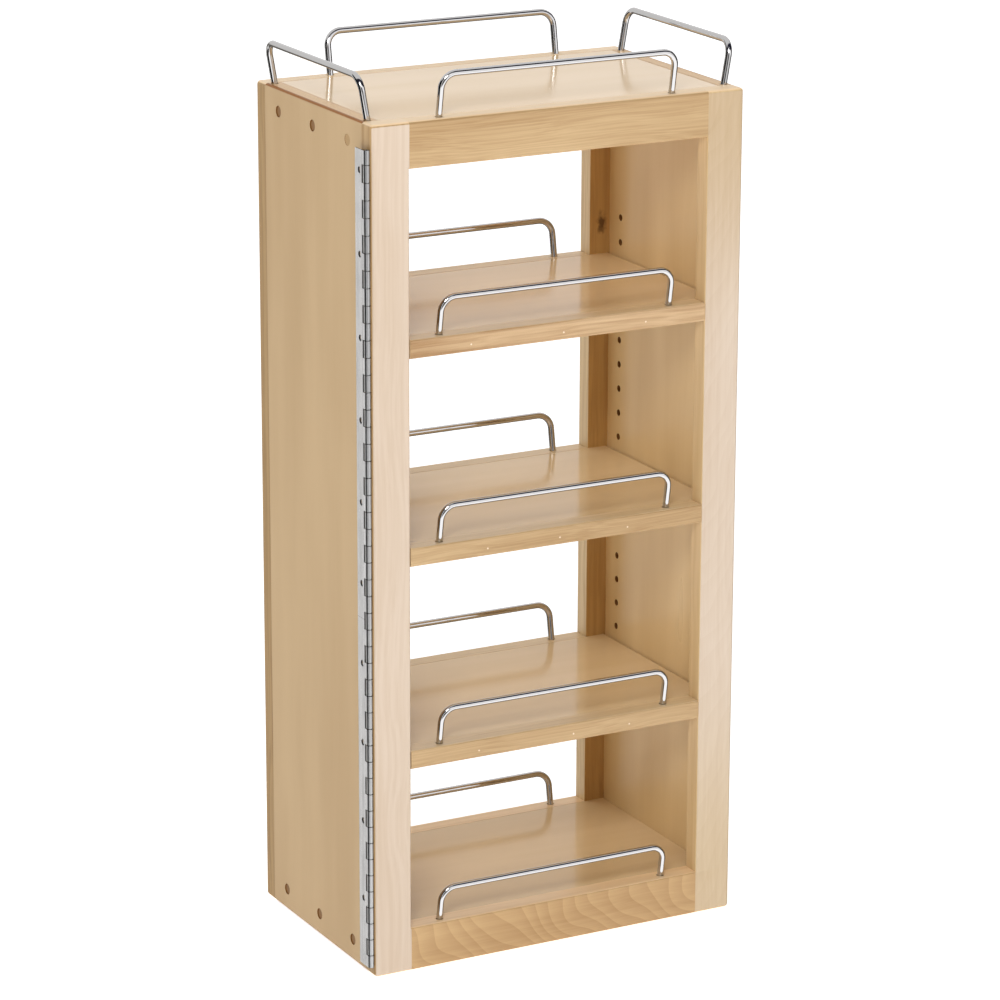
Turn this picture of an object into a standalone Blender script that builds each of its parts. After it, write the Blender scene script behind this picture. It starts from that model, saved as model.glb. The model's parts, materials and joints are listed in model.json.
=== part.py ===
"""Swing-out pantry unit: an open wooden rack with three lift-off shelves, wire gallery rails and a
continuous hinge on its left side. Metres, +Z up, front face towards -Y, origin under the middle."""

from math import cos, pi, radians, sin, tan

import bmesh
import bpy
from mathutils import Euler, Matrix, Vector

MM = 0.001

# Driving dimensions of the carcass
WIDTH = 304.8 * MM
DEPTH = 190.5 * MM
HEIGHT = 643 * MM
STILE_WIDTH = 30 * MM
STILE_THICK = 15 * MM
RAIL_HEIGHT = 34 * MM
PANEL_THICK = 12.5 * MM
DECK_THICK = 12.5 * MM
DECK_RECESS = 0.5 * MM
CLEAT_WIDTH = 18 * MM
CLEAT_LIFT = 2 * MM
GAP = 0.3 * MM
OUTER_ROUND = 2.5 * MM
BAY_ROUND = 1.5 * MM
LIP_ROUND = 1.2 * MM

# Shelves stand on L-shaped clips, whose pegs sit in two rows of holes in each side panel
SHELF_NAMES = ("lower", "middle", "upper")
SHELF_STEP_HOLES = 8
HOLE_PITCH = 19.45 * MM
HOLE_COUNT = 21
LOWEST_PEG_Z = 165 * MM
HOLES_BELOW_LOWEST_PEG = 2
HOLE_RADIUS = 2.6 * MM
HOLE_DEPTH = 10 * MM
HOLE_FROM_PANEL_EDGE = 17.5 * MM
DECK_TOP_ABOVE_PEG = 7.7 * MM
SHELF_SIDE_GAP = 1.3 * MM
LIP_SIDE_GAP = 0.4 * MM
LIP_HEIGHT = 14 * MM
LIP_ABOVE_DECK = 0.5 * MM

CLIP_WIDTH = 9 * MM
CLIP_PLATE = 0.7 * MM
CLIP_TAB = 1.2 * MM
CLIP_TAB_REACH = 9 * MM
CLIP_ABOVE_PEG = 4 * MM
PEG_RADIUS = 2.3 * MM
PEG_LENGTH = 9.5 * MM

# Wire gallery rails: a bent rod whose two legs lean outwards from their sockets
WIRE_RADIUS = 2.5 * MM
WIRE_BEND = 11 * MM
WIRE_LEAN = radians(10)
WIRE_LEG_GAP_WIDE = 190.5 * MM
WIRE_LEG_GAP_DEEP = 152.4 * MM
WIRE_HEIGHT_TOP = 31.5 * MM
WIRE_HEIGHT_SHELF = 28 * MM
WIRE_HEIGHT_BOTTOM = 25.5 * MM
WIRE_INSERT = 8.7 * MM
SOCKET_DEPTH = 9.2 * MM
BEND_STEPS = 4

# Wood plugs over the carcass screws
PLUG_RADIUS = 4.25 * MM
PLUG_THICK = 5 * MM
PLUG_PITCH = 57.15 * MM

# Continuous hinge, folded flat against the left side panel
HINGE_BOTTOM = 8.5 * MM
HINGE_TOP = 625.5 * MM
TOP_KNUCKLE = 10.5 * MM
KNUCKLE_LENGTH = 12.7 * MM
FIXED_KNUCKLES = 24
KNUCKLE_RADIUS = 2.4 * MM
KNUCKLE_SIDES = 8
KNUCKLE_CORNER = KNUCKLE_RADIUS / cos(pi / KNUCKLE_SIDES)
KNUCKLE_END_GAP = 0.2 * MM
BORE_RADIUS = 1.15 * MM
PIN_RADIUS = 1 * MM
PIN_INSET = 0.6 * MM
LEAF_INNER = 1.4 * MM
LEAF_OUTER = 2.35 * MM
LEAF_REACH = 13.3 * MM
LEAF_NOTCH = 2.8 * MM
AXIS_FROM_SIDE = KNUCKLE_RADIUS + GAP
AXIS_FROM_FRONT = KNUCKLE_RADIUS
SCREW_HOLE_RADIUS = 1.8 * MM
SCREW_HOLE_OFFSET = 6.5 * MM
SCREW_HOLE_TOP = 610.6 * MM
SCREW_HOLE_PITCH = 61 * MM
SCREW_HOLES = 10

# The object's box is centred on X = 0: the hinge stands out on the left, a leaning wire on the right
HINGE_PROUD = AXIS_FROM_SIDE + KNUCKLE_RADIUS
WIRE_PROUD = WIRE_HEIGHT_TOP * tan(WIRE_LEAN) + WIRE_RADIUS * cos(WIRE_LEAN) - PANEL_THICK / 2
CARCASS_CORNER = Vector(((HINGE_PROUD - WIRE_PROUD) / 2 - WIDTH / 2, -DEPTH / 2, 0))
HINGE_AXIS = CARCASS_CORNER + Vector((-AXIS_FROM_SIDE, AXIS_FROM_FRONT, 0))

OVERSHOOT = 3 * MM
FACES = {
    "left": (0, -1), "right": (0, 1), "front": (1, -1),
    "back": (1, 1), "bottom": (2, -1), "top": (2, 1),
}
FINISHES = {
    "solid_wood": ((0.68, 0.52, 0.34), 0.45, 0.0),
    "plywood": ((0.58, 0.43, 0.26), 0.5, 0.0),
    "plug_wood": ((0.36, 0.22, 0.10), 0.55, 0.0),
    "chrome": ((0.80, 0.80, 0.82), 0.08, 1.0),
    "zinc": ((0.60, 0.61, 0.63), 0.35, 1.0),
}


def start_empty_scene():
    for obj in list(bpy.data.objects):
        bpy.data.objects.remove(obj)


def new_collection(name):
    collection = bpy.data.collections.new(name)
    bpy.context.scene.collection.children.link(collection)
    return collection


def finish(obj, kind):
    """Gives the object a material of its own."""
    colour, roughness, metallic = FINISHES[kind]
    material = bpy.data.materials.new(obj.name)
    material.use_nodes = True
    shader = material.node_tree.nodes["Principled BSDF"]
    shader.inputs["Base Color"].default_value = (*colour, 1)
    shader.inputs["Roughness"].default_value = roughness
    shader.inputs["Metallic"].default_value = metallic
    obj.data.materials.append(material)


def hang_from(obj, parent):
    """Parents an object to an empty without moving it."""
    if parent:
        obj.parent = parent
        obj.location -= parent.location


def add_part(name, data, kind, location=(0, 0, 0), parent=None):
    obj = bpy.data.objects.new(name, data)
    obj.location = location
    parts.objects.link(obj)
    finish(obj, kind)
    hang_from(obj, parent)
    return obj


def add_cutter(name, mesh):
    obj = bpy.data.objects.new(name, mesh)
    obj.hide_render = True
    obj.display_type = "WIRE"
    cutters.objects.link(obj)
    return obj


def add_axis(name, location):
    """An empty that marks a moving body's joint and carries its pieces."""
    empty = bpy.data.objects.new(name, None)
    empty.location = location
    parts.objects.link(empty)
    return empty


def mesh_from(name, bm):
    mesh = bpy.data.meshes.new(name)
    bm.to_mesh(mesh)
    bm.free()
    return mesh


def add_box(bm, low, high):
    low, high = Vector(low), Vector(high)
    matrix = Matrix.Translation((low + high) / 2) @ Matrix.Diagonal((*(high - low), 1))
    bmesh.ops.create_cube(bm, size=1, matrix=matrix)


def add_rod(bm, radius, start, end, sides, placement=Matrix()):
    """A closed cylinder along the placement's Z axis, with a flat facing the placement's X axis."""
    matrix = (
        placement
        @ Matrix.Translation((0, 0, (start + end) / 2))
        @ Matrix.Rotation(pi / sides, 4, "Z")
    )
    bmesh.ops.create_cone(
        bm, cap_ends=True, segments=sides, radius1=radius, radius2=radius, depth=end - start, matrix=matrix
    )


def boolean(obj, tool, operation):
    modifier = obj.modifiers.new(tool.name, "BOOLEAN")
    modifier.operation = operation
    modifier.solver = "EXACT"
    modifier.object = tool


def world_location(obj):
    return obj.location + (obj.parent.location if obj.parent else Vector())


def use_tool(obj, name, bm, operation):
    """Applies a tool modelled in the object's own space, which the object carries with it."""
    tool = add_cutter(name, mesh_from(name, bm))
    tool.parent = obj
    boolean(obj, tool, operation)


def drill(obj, name, placements, radius, depth, sides=8):
    """Cuts blind holes that run down the placements' -Z axes from their origins."""
    to_object = Matrix.Translation(-world_location(obj))
    bm = bmesh.new()
    for placement in placements:
        add_rod(bm, radius, -depth, OVERSHOOT, sides, to_object @ placement)
    use_tool(obj, name, bm, "DIFFERENCE")


def soften(obj, size, soft):
    """Rounds the named edges of a box, each by its own radius."""
    mesh = obj.data
    weights = mesh.attributes.new("bevel_weight_edge", "FLOAT", "EDGE")
    largest = max(soft.values())
    for names, radius in soft.items():
        sides = [FACES[name] for name in names.split()]
        for edge in mesh.edges:
            middle = (mesh.vertices[edge.vertices[0]].co + mesh.vertices[edge.vertices[1]].co) / 2
            if all(middle[axis] * sign > size[axis] * 0.49 for axis, sign in sides):
                weights.data[edge.index].value = radius / largest
    bevel = obj.modifiers.new("soft_edges", "BEVEL")
    bevel.limit_method = "WEIGHT"
    bevel.width = largest
    bevel.segments = 3
    mesh.shade_smooth()
    mesh.set_sharp_from_angle(angle=radians(40))


def board(name, low, high, kind="solid_wood", soft=None, parent=None):
    """A rectangular board between two corners measured from the carcass's front left bottom corner."""
    low, high = Vector(low), Vector(high)
    size = high - low
    bm = bmesh.new()
    add_box(bm, -size / 2, size / 2)
    obj = add_part(name, mesh_from(name, bm), kind, CARCASS_CORNER + (low + high) / 2, parent)
    if soft:
        soften(obj, size, soft)
    return obj


def wire_placement(seat, yaw):
    turn = Euler((WIRE_LEAN, 0, yaw)).to_matrix().to_4x4()
    return Matrix.Translation(CARCASS_CORNER + Vector(seat)) @ turn


def wire_rail(name, seat_board, seat, yaw, leg_gap, height, parent=None):
    """A bent rod: up one leg, round a bend, along and down again, standing in two sockets of a board.

    seat is the point midway between the feet on the board's upper face; yaw 0 leans towards the front.
    """
    half = leg_gap / 2
    rise = height / cos(WIRE_LEAN)
    points = [(-half, 0, -WIRE_INSERT)]
    for side in (-1, 1):
        arc = [
            (
                side * (half - WIRE_BEND + WIRE_BEND * cos(step * pi / 2 / BEND_STEPS)),
                0,
                rise - WIRE_BEND + WIRE_BEND * sin(step * pi / 2 / BEND_STEPS),
            )
            for step in range(BEND_STEPS + 1)
        ]
        points += arc if side < 0 else arc[::-1]
    points.append((half, 0, -WIRE_INSERT))

    curve = bpy.data.curves.new(name, "CURVE")
    curve.dimensions = "3D"
    curve.bevel_depth = WIRE_RADIUS
    curve.bevel_resolution = 2
    curve.use_fill_caps = True
    spline = curve.splines.new("POLY")
    spline.points.add(len(points) - 1)
    for point, place in zip(spline.points, points):
        point.co = (*place, 1)
        point.radius = 1
    spline.use_smooth = True

    placement = wire_placement(seat, yaw)
    rail = add_part(name, curve, "chrome", placement.translation, parent)
    rail.rotation_euler = placement.to_euler()

    feet = [placement @ Matrix.Translation((x, 0, 0)) for x in (-half, half)]
    drill(seat_board, name + "_sockets", feet, WIRE_RADIUS + GAP, SOCKET_DEPTH)


def make_stiles_and_rails():
    """The front and back frames, flush with the outside of the side panels."""
    boards = {}
    for face, inward, y in (("front", "back", 0), ("back", "front", DEPTH - STILE_THICK)):
        for side, inner, x in (("left", "right", 0), ("right", "left", WIDTH - STILE_WIDTH)):
            boards[face, side] = board(
                f"{face}_stile_{side}",
                (x, y, 0),
                (x + STILE_WIDTH, y + STILE_THICK, HEIGHT),
                soft={
                    f"{face} {side}": OUTER_ROUND, f"{face} top": OUTER_ROUND, f"{side} top": OUTER_ROUND,
                    f"{face} bottom": OUTER_ROUND, f"{side} bottom": OUTER_ROUND,
                    f"{face} {inner}": BAY_ROUND, f"{inward} {inner}": BAY_ROUND / 2,
                },
            )
        for level, opposite, z in (("top", "bottom", HEIGHT - RAIL_HEIGHT), ("bottom", "top", 0)):
            boards[face, level] = board(
                f"{face}_{level}_rail",
                (STILE_WIDTH + GAP, y, z),
                (WIDTH - STILE_WIDTH - GAP, y + STILE_THICK, z + RAIL_HEIGHT),
                soft={f"{face} {level}": OUTER_ROUND, f"{face} {opposite}": BAY_ROUND},
            )
    return boards


def panel_holes(x, facing):
    """Placements of the shelf-clip holes of a side panel, opening towards the inside."""
    turn = Matrix.Rotation(facing * pi / 2, 4, "Y")
    first_y = STILE_THICK + HOLE_FROM_PANEL_EDGE
    first_z = LOWEST_PEG_Z - HOLES_BELOW_LOWEST_PEG * HOLE_PITCH
    return [
        Matrix.Translation(CARCASS_CORNER + Vector((x, y, first_z + step * HOLE_PITCH))) @ turn
        for y in (first_y, DEPTH - first_y)
        for step in range(HOLE_COUNT)
    ]


def make_side_panels():
    panels = {}
    for side, x, facing in (("left", 0, 1), ("right", WIDTH - PANEL_THICK, -1)):
        panel = board(
            f"side_panel_{side}",
            (x, STILE_THICK + GAP, 0),
            (x + PANEL_THICK, DEPTH - STILE_THICK - GAP, HEIGHT),
            "plywood",
            {f"{side} top": OUTER_ROUND, f"{side} bottom": OUTER_ROUND},
        )
        inner_x = PANEL_THICK if side == "left" else WIDTH - PANEL_THICK
        drill(panel, f"clip_holes_{side}", panel_holes(inner_x, facing), HOLE_RADIUS, HOLE_DEPTH)
        panels[side] = panel
    return panels


def make_decks_and_cleats():
    """Top and bottom boards, let in just below the frames, each on a cleat at either side."""
    inside = PANEL_THICK + GAP
    front, back = STILE_THICK + GAP, DEPTH - STILE_THICK - GAP
    deck_tops = {"top": HEIGHT - DECK_RECESS, "bottom": RAIL_HEIGHT - DECK_RECESS}
    for level, top in deck_tops.items():
        board(f"{level}_deck", (inside, front, top - DECK_THICK), (WIDTH - inside, back, top), "plywood")
        cleat_top = top - DECK_THICK - GAP
        cleat_low = HEIGHT - RAIL_HEIGHT if level == "top" else CLEAT_LIFT
        for side, x in (("left", inside), ("right", WIDTH - inside - CLEAT_WIDTH)):
            board(f"{level}_cleat_{side}", (x, front, cleat_low), (x + CLEAT_WIDTH, back, cleat_top))


def make_plugs(panel):
    """Round wood plugs, flush with the left panel's outside, at the middle height of the rails."""
    turn = Matrix.Rotation(-pi / 2, 4, "Y")
    placements = []
    for level, z in (("bottom", RAIL_HEIGHT / 2), ("top", HEIGHT - RAIL_HEIGHT / 2)):
        for place, offset in (("front", -PLUG_PITCH), ("middle", 0), ("back", PLUG_PITCH)):
            centre = CARCASS_CORNER + Vector((0, DEPTH / 2 + offset, z))
            placements.append(Matrix.Translation(centre) @ turn)
            bm = bmesh.new()
            add_rod(bm, PLUG_RADIUS, -PLUG_THICK, 0, 16, turn)
            plug = add_part(f"wood_plug_{level}_{place}", mesh_from("wood_plug", bm), "plug_wood", centre)
            plug.data.shade_smooth()
            plug.data.set_sharp_from_angle(angle=radians(40))
    drill(panel, "plug_seats", placements, PLUG_RADIUS + GAP, PLUG_THICK + GAP, 16)


def clip_mesh():
    """One shelf clip at its peg's centre: a peg, a plate that hangs down and a tab that turns inwards."""
    tab_top = DECK_TOP_ABOVE_PEG - DECK_THICK - GAP
    bm = bmesh.new()
    add_box(
        bm,
        (GAP, -CLIP_WIDTH / 2, tab_top - CLIP_TAB),
        (GAP + CLIP_PLATE, CLIP_WIDTH / 2, CLIP_ABOVE_PEG),
    )
    plate = bpy.data.objects.new("clip", mesh_from("clip", bm))
    parts.objects.link(plate)

    bm = bmesh.new()
    tab_low = (GAP + CLIP_PLATE / 2, -CLIP_WIDTH / 2 + GAP, tab_top - CLIP_TAB + CLIP_PLATE / 4)
    add_box(bm, tab_low, (GAP + CLIP_TAB_REACH, CLIP_WIDTH / 2 - GAP, tab_top))
    boolean(plate, add_cutter("clip_tab", mesh_from("clip_tab", bm)), "UNION")

    bm = bmesh.new()
    along_x = Matrix.Rotation(pi / 2, 4, "Y")
    add_rod(bm, PEG_RADIUS, -PEG_LENGTH, GAP + CLIP_PLATE / 2, 8, along_x)
    boolean(plate, add_cutter("clip_peg", mesh_from("clip_peg", bm)), "UNION")

    evaluated = plate.evaluated_get(bpy.context.evaluated_depsgraph_get())
    mesh = bpy.data.meshes.new_from_object(evaluated)
    bpy.data.objects.remove(plate)
    return mesh


def make_clips(mesh, level, peg_z):
    first_y = STILE_THICK + HOLE_FROM_PANEL_EDGE
    for side, x, turn in (("left", PANEL_THICK, 0), ("right", WIDTH - PANEL_THICK, pi)):
        for place, y in (("front", first_y), ("back", DEPTH - first_y)):
            clip = add_part(
                f"shelf_clip_{level}_{side}_{place}",
                mesh.copy(),
                "zinc",
                CARCASS_CORNER + Vector((x, y, peg_z)),
            )
            clip.rotation_euler.z = turn


def make_shelf(level, peg_z):
    """A plywood deck between two solid lips, with a wire rail on each lip."""
    deck_top = peg_z + DECK_TOP_ABOVE_PEG
    lip_top = deck_top + LIP_ABOVE_DECK
    slide = add_axis(f"{level}_shelf_slide", CARCASS_CORNER + Vector((WIDTH / 2, DEPTH / 2, deck_top)))
    side = PANEL_THICK + SHELF_SIDE_GAP
    board(
        f"{level}_shelf_deck",
        (side, STILE_THICK + GAP, deck_top - DECK_THICK),
        (WIDTH - side, DEPTH - STILE_THICK - GAP, deck_top),
        "plywood",
        parent=slide,
    )
    lip_side = STILE_WIDTH + LIP_SIDE_GAP
    for face, y, yaw in (("front", 0, 0), ("back", DEPTH - STILE_THICK, pi)):
        lip = board(
            f"{level}_shelf_{face}_lip",
            (lip_side, y, lip_top - LIP_HEIGHT),
            (WIDTH - lip_side, y + STILE_THICK, lip_top),
            soft={f"{face} top": LIP_ROUND, f"{face} bottom": LIP_ROUND},
            parent=slide,
        )
        seat = (WIDTH / 2, y + STILE_THICK / 2, lip_top)
        wire_rail(f"{level}_shelf_{face}_wire", lip, seat, yaw, WIRE_LEG_GAP_WIDE, WIRE_HEIGHT_SHELF, slide)


def make_carcass_wires(boards, panels):
    for face, y, yaw in (("front", STILE_THICK / 2, 0), ("back", DEPTH - STILE_THICK / 2, pi)):
        for level, z, height in (
            ("top", HEIGHT, WIRE_HEIGHT_TOP),
            ("bottom", RAIL_HEIGHT, WIRE_HEIGHT_BOTTOM),
        ):
            seat = (WIDTH / 2, y, z)
            wire_rail(f"{level}_{face}_wire", boards[face, level], seat, yaw, WIRE_LEG_GAP_WIDE, height)
    for side, x, yaw in (("left", PANEL_THICK / 2, -pi / 2), ("right", WIDTH - PANEL_THICK / 2, pi / 2)):
        seat = (x, DEPTH / 2, HEIGHT)
        wire_rail(f"top_{side}_wire", panels[side], seat, yaw, WIRE_LEG_GAP_DEEP, WIRE_HEIGHT_TOP)


def knuckle_zones():
    """Spans along Z of the free leaf's knuckles and of the fixed leaf's, which alternate."""
    edges = [HINGE_TOP, HINGE_TOP - TOP_KNUCKLE]
    edges += [edges[1] - KNUCKLE_LENGTH * step for step in range(1, 2 * FIXED_KNUCKLES)]
    edges.append(HINGE_BOTTOM)
    spans = list(zip(edges[1:], edges[:-1]))
    return spans[0::2], spans[1::2]


def hinge_leaf(name, own, other, inner_x, outer_x, parent=None):
    """A flat leaf with rolled knuckles. Its origin is on the pin's axis, and it runs towards +Y."""
    bm = bmesh.new()
    low_x, high_x = sorted((inner_x, outer_x))
    add_box(bm, (low_x, 0, HINGE_BOTTOM), (high_x, LEAF_REACH, HINGE_TOP))
    leaf = add_part(name, mesh_from(name, bm), "zinc", HINGE_AXIS, parent)

    bm = bmesh.new()
    for low, high in other:
        reach_low = low - (OVERSHOOT if low == HINGE_BOTTOM else GAP / 2)
        reach_high = high + (OVERSHOOT if high == HINGE_TOP else GAP / 2)
        add_box(bm, (-OVERSHOOT, -OVERSHOOT, reach_low), (OVERSHOOT, LEAF_NOTCH, reach_high))
    use_tool(leaf, name + "_notches", bm, "DIFFERENCE")

    bm = bmesh.new()
    for low, high in own:
        add_rod(bm, KNUCKLE_CORNER, low + KNUCKLE_END_GAP, high - KNUCKLE_END_GAP, KNUCKLE_SIDES)
    use_tool(leaf, name + "_knuckles", bm, "UNION")

    bm = bmesh.new()
    add_rod(bm, BORE_RADIUS, HINGE_BOTTOM - OVERSHOOT, HINGE_TOP + OVERSHOOT, KNUCKLE_SIDES)
    use_tool(leaf, name + "_bore", bm, "DIFFERENCE")

    bm = bmesh.new()
    along_x = Matrix.Rotation(pi / 2, 4, "Y")
    for step in range(SCREW_HOLES):
        centre = Matrix.Translation((0, SCREW_HOLE_OFFSET, SCREW_HOLE_TOP - step * SCREW_HOLE_PITCH))
        add_rod(bm, SCREW_HOLE_RADIUS, -2 * OVERSHOOT, 2 * OVERSHOOT, 8, centre @ along_x)
    use_tool(leaf, name + "_screw_holes", bm, "DIFFERENCE")


def make_hinge():
    """Two leaves folded face to face on one pin; the free leaf turns, the fixed one is on the panel."""
    free_spans, fixed_spans = knuckle_zones()
    hinge_leaf("hinge_fixed_leaf", fixed_spans, free_spans, LEAF_INNER, LEAF_OUTER)
    axis = add_axis("free_leaf_axis", HINGE_AXIS)
    hinge_leaf("hinge_free_leaf", free_spans, fixed_spans, -LEAF_INNER, -LEAF_OUTER, axis)
    bm = bmesh.new()
    add_rod(bm, PIN_RADIUS, HINGE_BOTTOM + PIN_INSET, HINGE_TOP - PIN_INSET, KNUCKLE_SIDES)
    add_part("hinge_pin", mesh_from("hinge_pin", bm), "zinc", HINGE_AXIS)


start_empty_scene()
parts = new_collection("swing_out_pantry_unit")
cutters = new_collection("cutters")
frame_boards = make_stiles_and_rails()
side_panels = make_side_panels()
make_decks_and_cleats()
make_plugs(side_panels["left"])
make_carcass_wires(frame_boards, side_panels)
shared_clip = clip_mesh()
for index, shelf_level in enumerate(SHELF_NAMES):
    shelf_peg_z = LOWEST_PEG_Z + index * SHELF_STEP_HOLES * HOLE_PITCH
    make_clips(shared_clip, shelf_level, shelf_peg_z)
    make_shelf(shelf_level, shelf_peg_z)
make_hinge()
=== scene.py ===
"""Looks of the swing-out pantry unit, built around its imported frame. Metres, front towards -Y."""

import json
from math import cos, pi, radians, sin

import bmesh
import bpy
from mathutils import Euler, Matrix, Vector


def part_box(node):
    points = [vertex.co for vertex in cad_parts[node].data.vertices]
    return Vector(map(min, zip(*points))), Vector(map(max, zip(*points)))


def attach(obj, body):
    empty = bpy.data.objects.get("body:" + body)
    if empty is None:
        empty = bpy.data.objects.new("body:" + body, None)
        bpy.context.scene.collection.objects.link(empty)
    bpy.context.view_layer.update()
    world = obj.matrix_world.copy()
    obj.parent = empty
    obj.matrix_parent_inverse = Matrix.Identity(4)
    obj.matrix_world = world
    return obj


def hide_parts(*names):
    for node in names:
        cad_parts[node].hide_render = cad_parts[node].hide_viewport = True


MM = 0.001

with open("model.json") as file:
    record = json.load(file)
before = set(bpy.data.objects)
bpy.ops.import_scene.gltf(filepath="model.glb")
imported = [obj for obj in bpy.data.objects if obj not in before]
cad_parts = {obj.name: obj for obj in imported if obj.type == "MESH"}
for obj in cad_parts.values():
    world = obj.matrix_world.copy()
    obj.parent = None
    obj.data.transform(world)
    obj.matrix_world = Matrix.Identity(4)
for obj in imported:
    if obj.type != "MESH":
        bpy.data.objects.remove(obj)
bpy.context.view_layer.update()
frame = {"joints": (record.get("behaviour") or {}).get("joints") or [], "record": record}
BODY_OF = {
    node: body
    for body, nodes in frame["record"]["behaviour"]["bodies"].items()
    for node in nodes
}
JOINTS = {joint["name"]: joint for joint in frame["joints"]}

SHELVES = ("lower", "middle", "upper")

# Radii of the boards' rounded edges
OUTER_ROUND = 2.6 * MM
BAY_ROUND = 1.5 * MM
LIP_ROUND = 1.3 * MM
CLEAT_ROUND = 0.8 * MM
DECK_ROUND = 0.4 * MM

# How far glued joints close the frame's clearance, and the finish's thickness on the decks
GLUE_CLOSING = 0.24 * MM
DECK_LIFT = 0.38 * MM

# How far a drill stands out of the surface that it cuts
DRILL_CLEAR = 3 * MM

# Wire rails
WIRE_RADIUS = 2.46 * MM
WIRE_BEND = 11 * MM
WIRE_LEAN = radians(10)
WIRE_INSERT = 8.5 * MM
SOCKET_RADIUS = 2.95 * MM
SOCKET_DEPTH = 9.2 * MM
BEND_STEPS = 14

# Shelf clips and their holes
HOLE_PITCH = 19.45 * MM
HOLE_COUNT = 21
HOLE_RADIUS = 2.6 * MM
HOLE_DEPTH = 10 * MM
HOLES_BELOW_LOWEST_PEG = 2
PEG_RADIUS = 2.35 * MM
PEG_LENGTH = 9.3 * MM
CLIP_ABOVE_PEG = 4 * MM
CLIP_SHEET = 0.8 * MM
CLIP_WIDTH = 9 * MM
CLIP_GAP = 0.3 * MM
CLIP_ROUND = 0.22 * MM

# Plugs over the carcass screws
PLUG_RADIUS = 4.15 * MM
PLUG_SEAT_RADIUS = 4.3 * MM
PLUG_RECESS = 0.7 * MM
FLUSH_RADIUS = 4.24 * MM
FLUSH_RECESS = 0.2 * MM
PLUG_THICK = 4.2 * MM
PLUG_SEAT_DEPTH = 5.3 * MM

# Hinge
KNUCKLE_OUTER = 2.4 * MM
KNUCKLE_INNER = 1.4 * MM
KNUCKLE_LENGTH = 12.7 * MM
TOP_KNUCKLE = 10.5 * MM
KNUCKLE_GAP = 0.32 * MM
CURL = radians(285)
CURL_STEPS = 22
LEAF_NOTCH = 2.8 * MM
FIXED_LEAF_DROP = 1.8 * MM
PIN_RADIUS = 1.32 * MM
SCREW_OFFSET = 6.5 * MM
SCREW_TOP = 610.6 * MM
SCREW_PITCH = 61 * MM
SCREW_COUNT = 10
SCREW_HOLE_RADIUS = 1.8 * MM
SCREW_HEAD_RADIUS = 3.1 * MM
SCREW_SHANK_RADIUS = 1.3 * MM
SCREW_LENGTH = 12 * MM
SCREW_TIP_SHARE = 0.25
THREAD_RADIUS = SCREW_SHANK_RADIUS * 0.93
COUNTERSINK_CLEAR = 0.25 * MM

# The cross recess in a screw's head
CROSS_REACH = 1.7 * MM
CROSS_HALF_WIDTH = 0.32 * MM
CROSS_DEPTH = 1.1 * MM
CROSS_TURN = 0.4

# The seam where the free leaf's strip was joined
LEAF_SEAM_Z = 279 * MM
LEAF_SEAM_WIDTH = 0.2 * MM
LEAF_SEAM_DEPTH = 0.18 * MM

# Brad fillers in the lips' faces
BRAD_PLACES = (-66 * MM, 6 * MM, 64 * MM)
BRAD_WANDER = 8 * MM
BRAD_ABOVE_EDGE = 5.5 * MM
BRAD_RADIUS = 0.8 * MM
BRAD_PROUD = 0.02 * MM
BRAD_LENGTH = 0.5 * MM

# The studio's floor: half its width, its thickness and its gap below the unit
FLOOR_REACH = 60
FLOOR_THICK = 0.02
FLOOR_DROP = 0.3 * MM

# The camera stands where the photograph's did, turned by these degrees
CAMERA_PLACE = (-1.4657, -2.7473, 1.248)
CAMERA_DOWN = 16.523
CAMERA_AZIMUTH = 28.136
CAMERA_ROLL = 0.188
CAMERA_LENS = 154.8
CAMERA_SENSOR = 36

FACES = {
    "left": (0, -1), "right": (0, 1), "front": (1, -1),
    "back": (1, 1), "bottom": (2, -1), "top": (2, 1),
}


# ---------------------------------------------------------------- shapes


def mesh_from(name, bm):
    bmesh.ops.recalc_face_normals(bm, faces=bm.faces)
    mesh = bpy.data.meshes.new(name)
    bm.to_mesh(mesh)
    bm.free()
    return mesh


def new_object(name, data, material=None):
    obj = bpy.data.objects.new(name, data)
    bpy.context.scene.collection.objects.link(obj)
    if material:
        data.materials.append(material)
    return obj


def add_box(bm, low, high):
    low, high = Vector(low), Vector(high)
    matrix = Matrix.Translation((low + high) / 2) @ Matrix.Diagonal((*(high - low), 1))
    bmesh.ops.create_cube(bm, size=1, matrix=matrix)


def add_rod(bm, radius, start, end, sides=24, placement=Matrix(), end_radius=None):
    """A closed cylinder or cone along the placement's Z axis."""
    matrix = placement @ Matrix.Translation((0, 0, (start + end) / 2))
    bmesh.ops.create_cone(
        bm, cap_ends=True, segments=sides, radius1=radius,
        radius2=radius if end_radius is None else end_radius, depth=end - start, matrix=matrix,
    )


def baked(obj):
    """Replaces an object's mesh by what its modifiers make of it."""
    evaluated = obj.evaluated_get(bpy.context.evaluated_depsgraph_get())
    mesh = bpy.data.meshes.new_from_object(evaluated)
    obj.modifiers.clear()
    obj.data = mesh
    return obj


def smooth(obj, angle=35):
    obj.data.shade_smooth()
    obj.data.set_sharp_from_angle(angle=radians(angle))
    return obj


def add_tool(obj, bm, operation="DIFFERENCE"):
    tool = new_object("tool", mesh_from("tool", bm))
    tool.hide_render = True
    modifier = obj.modifiers.new("cut", "BOOLEAN")
    modifier.operation = operation
    modifier.solver = "EXACT"
    modifier.object = tool
    return tool


def finished(obj, tools=()):
    """Applies the cuts and rounds the shading over the small faces only."""
    if tools:
        baked(obj)
        smooth(obj)
    weighted = obj.modifiers.new("flat_faces_stay_flat", "WEIGHTED_NORMAL")
    weighted.keep_sharp = True
    baked(obj)
    for tool in tools:
        bpy.data.objects.remove(tool)
    return obj


def stand_for(obj, node):
    """The piece rides on the body of the frame's node and is shown in its place."""
    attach(obj, BODY_OF[node])
    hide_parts(node)
    return obj


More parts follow.
